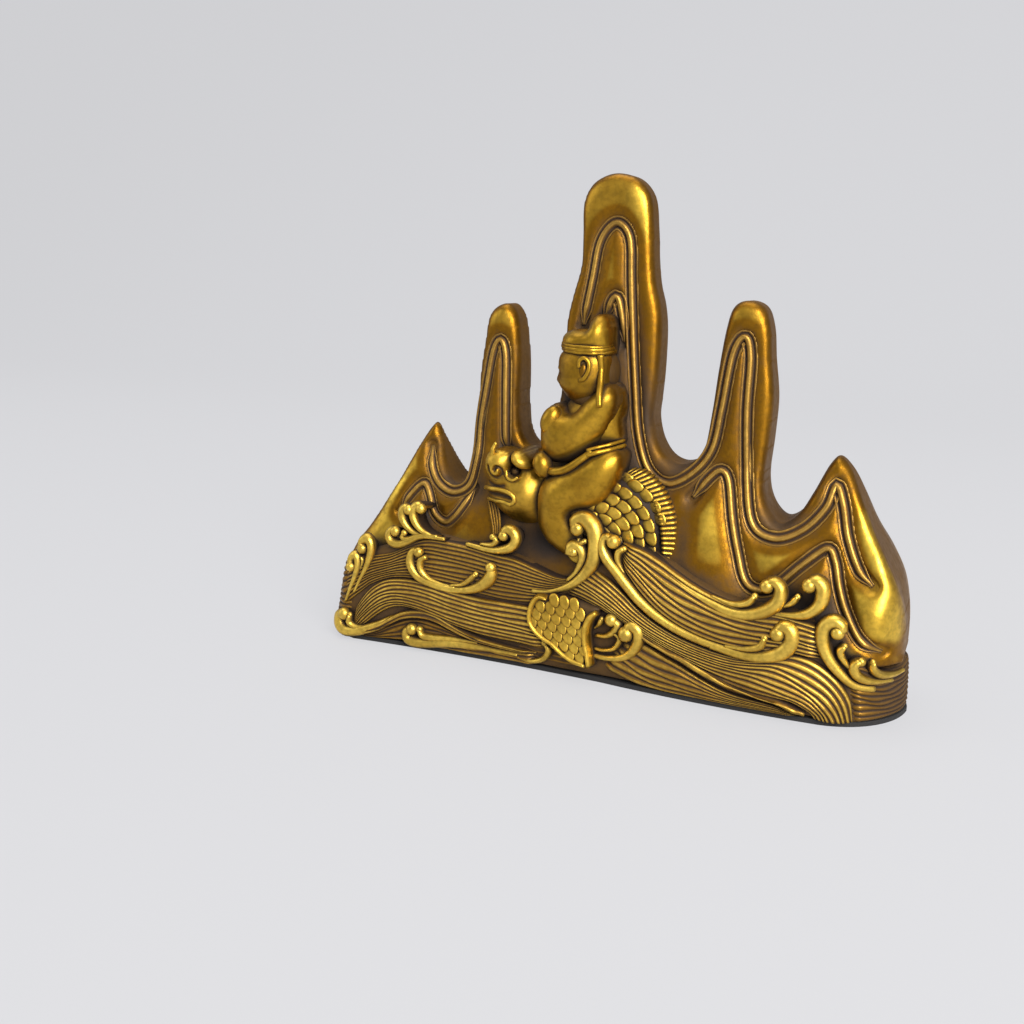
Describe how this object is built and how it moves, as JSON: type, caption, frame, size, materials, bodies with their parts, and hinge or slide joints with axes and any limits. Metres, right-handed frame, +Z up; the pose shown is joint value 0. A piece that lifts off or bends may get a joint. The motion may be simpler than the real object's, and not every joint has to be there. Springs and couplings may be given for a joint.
{
  "type": "brush rest",
  "caption": "Cast brass brush rest: five mountain peaks with saddles for brush handles, a scholar riding a dragon-fish over scrolled waves.",
  "frame": {"origin": "centre of the underside of the pad, midway between the two ends", "axes": "+X along the range of hills, to the right as the ornament is seen from the front; -Y to the front; +Z up"},
  "size_m": [0.1364, 0.0354, 0.1053],
  "materials": {
    "brass_hills": "antique, satin, brown patina in the recesses",
    "brass_waves": "antique, combed, dark patina between the ridges",
    "brass_line": "antique, satin",
    "brass_scroll": "antique, rubbed bright on top",
    "brass_fish": "antique, rubbed bright on the scales",
    "brass_figure": "antique, rubbed bright on top",
    "black_pad": "matt foam rubber"
  },
  "bodies": {
    "casting": {"base_pad": "black_pad", "breaking_curl": "brass_scroll", "breaking_curl_back": "brass_scroll", "collar_curl": "brass_scroll", "corner_curl": "brass_scroll", "cradle_curl_back": "brass_scroll", "cradle_curl_left": "brass_scroll", "cradle_curl_right": "brass_scroll", "crest_curl_back_left": "brass_scroll", "crest_curl_fish": "brass_scroll", "crest_curl_left": "brass_scroll", "dorsal_fin": "brass_fish", "end_curl_lower": "brass_scroll", "end_curl_upper": "brass_scroll", "fish_beard": "brass_fish", "fish_body": "brass_fish", "fish_brow": "brass_fish", "fish_head": "brass_fish", "fish_snout": "brass_fish", "foot_curl": "brass_scroll", "foot_curl_back": "brass_scroll", "hat_band": "brass_figure", "hat_ribbon": "brass_figure", "hook_curl_back": "brass_scroll", "hook_curl_right": "brass_scroll", "long_curl_back": "brass_scroll", "long_curl_lower": "brass_scroll", "long_curl_upper": "brass_scroll", "mountain_screen": "brass_hills", "rider_belt": "brass_figure", "rider_hands": "brass_figure", "rider_hat": "brass_figure", "rider_head": "brass_figure", "rider_leg": "brass_figure", "rider_robe": "brass_figure", "rider_sleeve": "brass_figure", "ridge_line_left": "brass_line", "ridge_line_left_back": "brass_line", "ridge_line_low_left": "brass_line", "ridge_line_low_right": "brass_line", "ridge_line_low_right_back": "brass_line", "ridge_line_right": "brass_line", "ridge_line_right_back": "brass_line", "ridge_line_small_hill": "brass_line", "spray_curls_left": "brass_scroll", "tail_fan": "brass_fish", "tail_rim": "brass_fish", "tail_wave_bud": "brass_fish", "tail_wave_curl": "brass_fish", "wave_base": "brass_waves"}
  },
  "joints": []
}
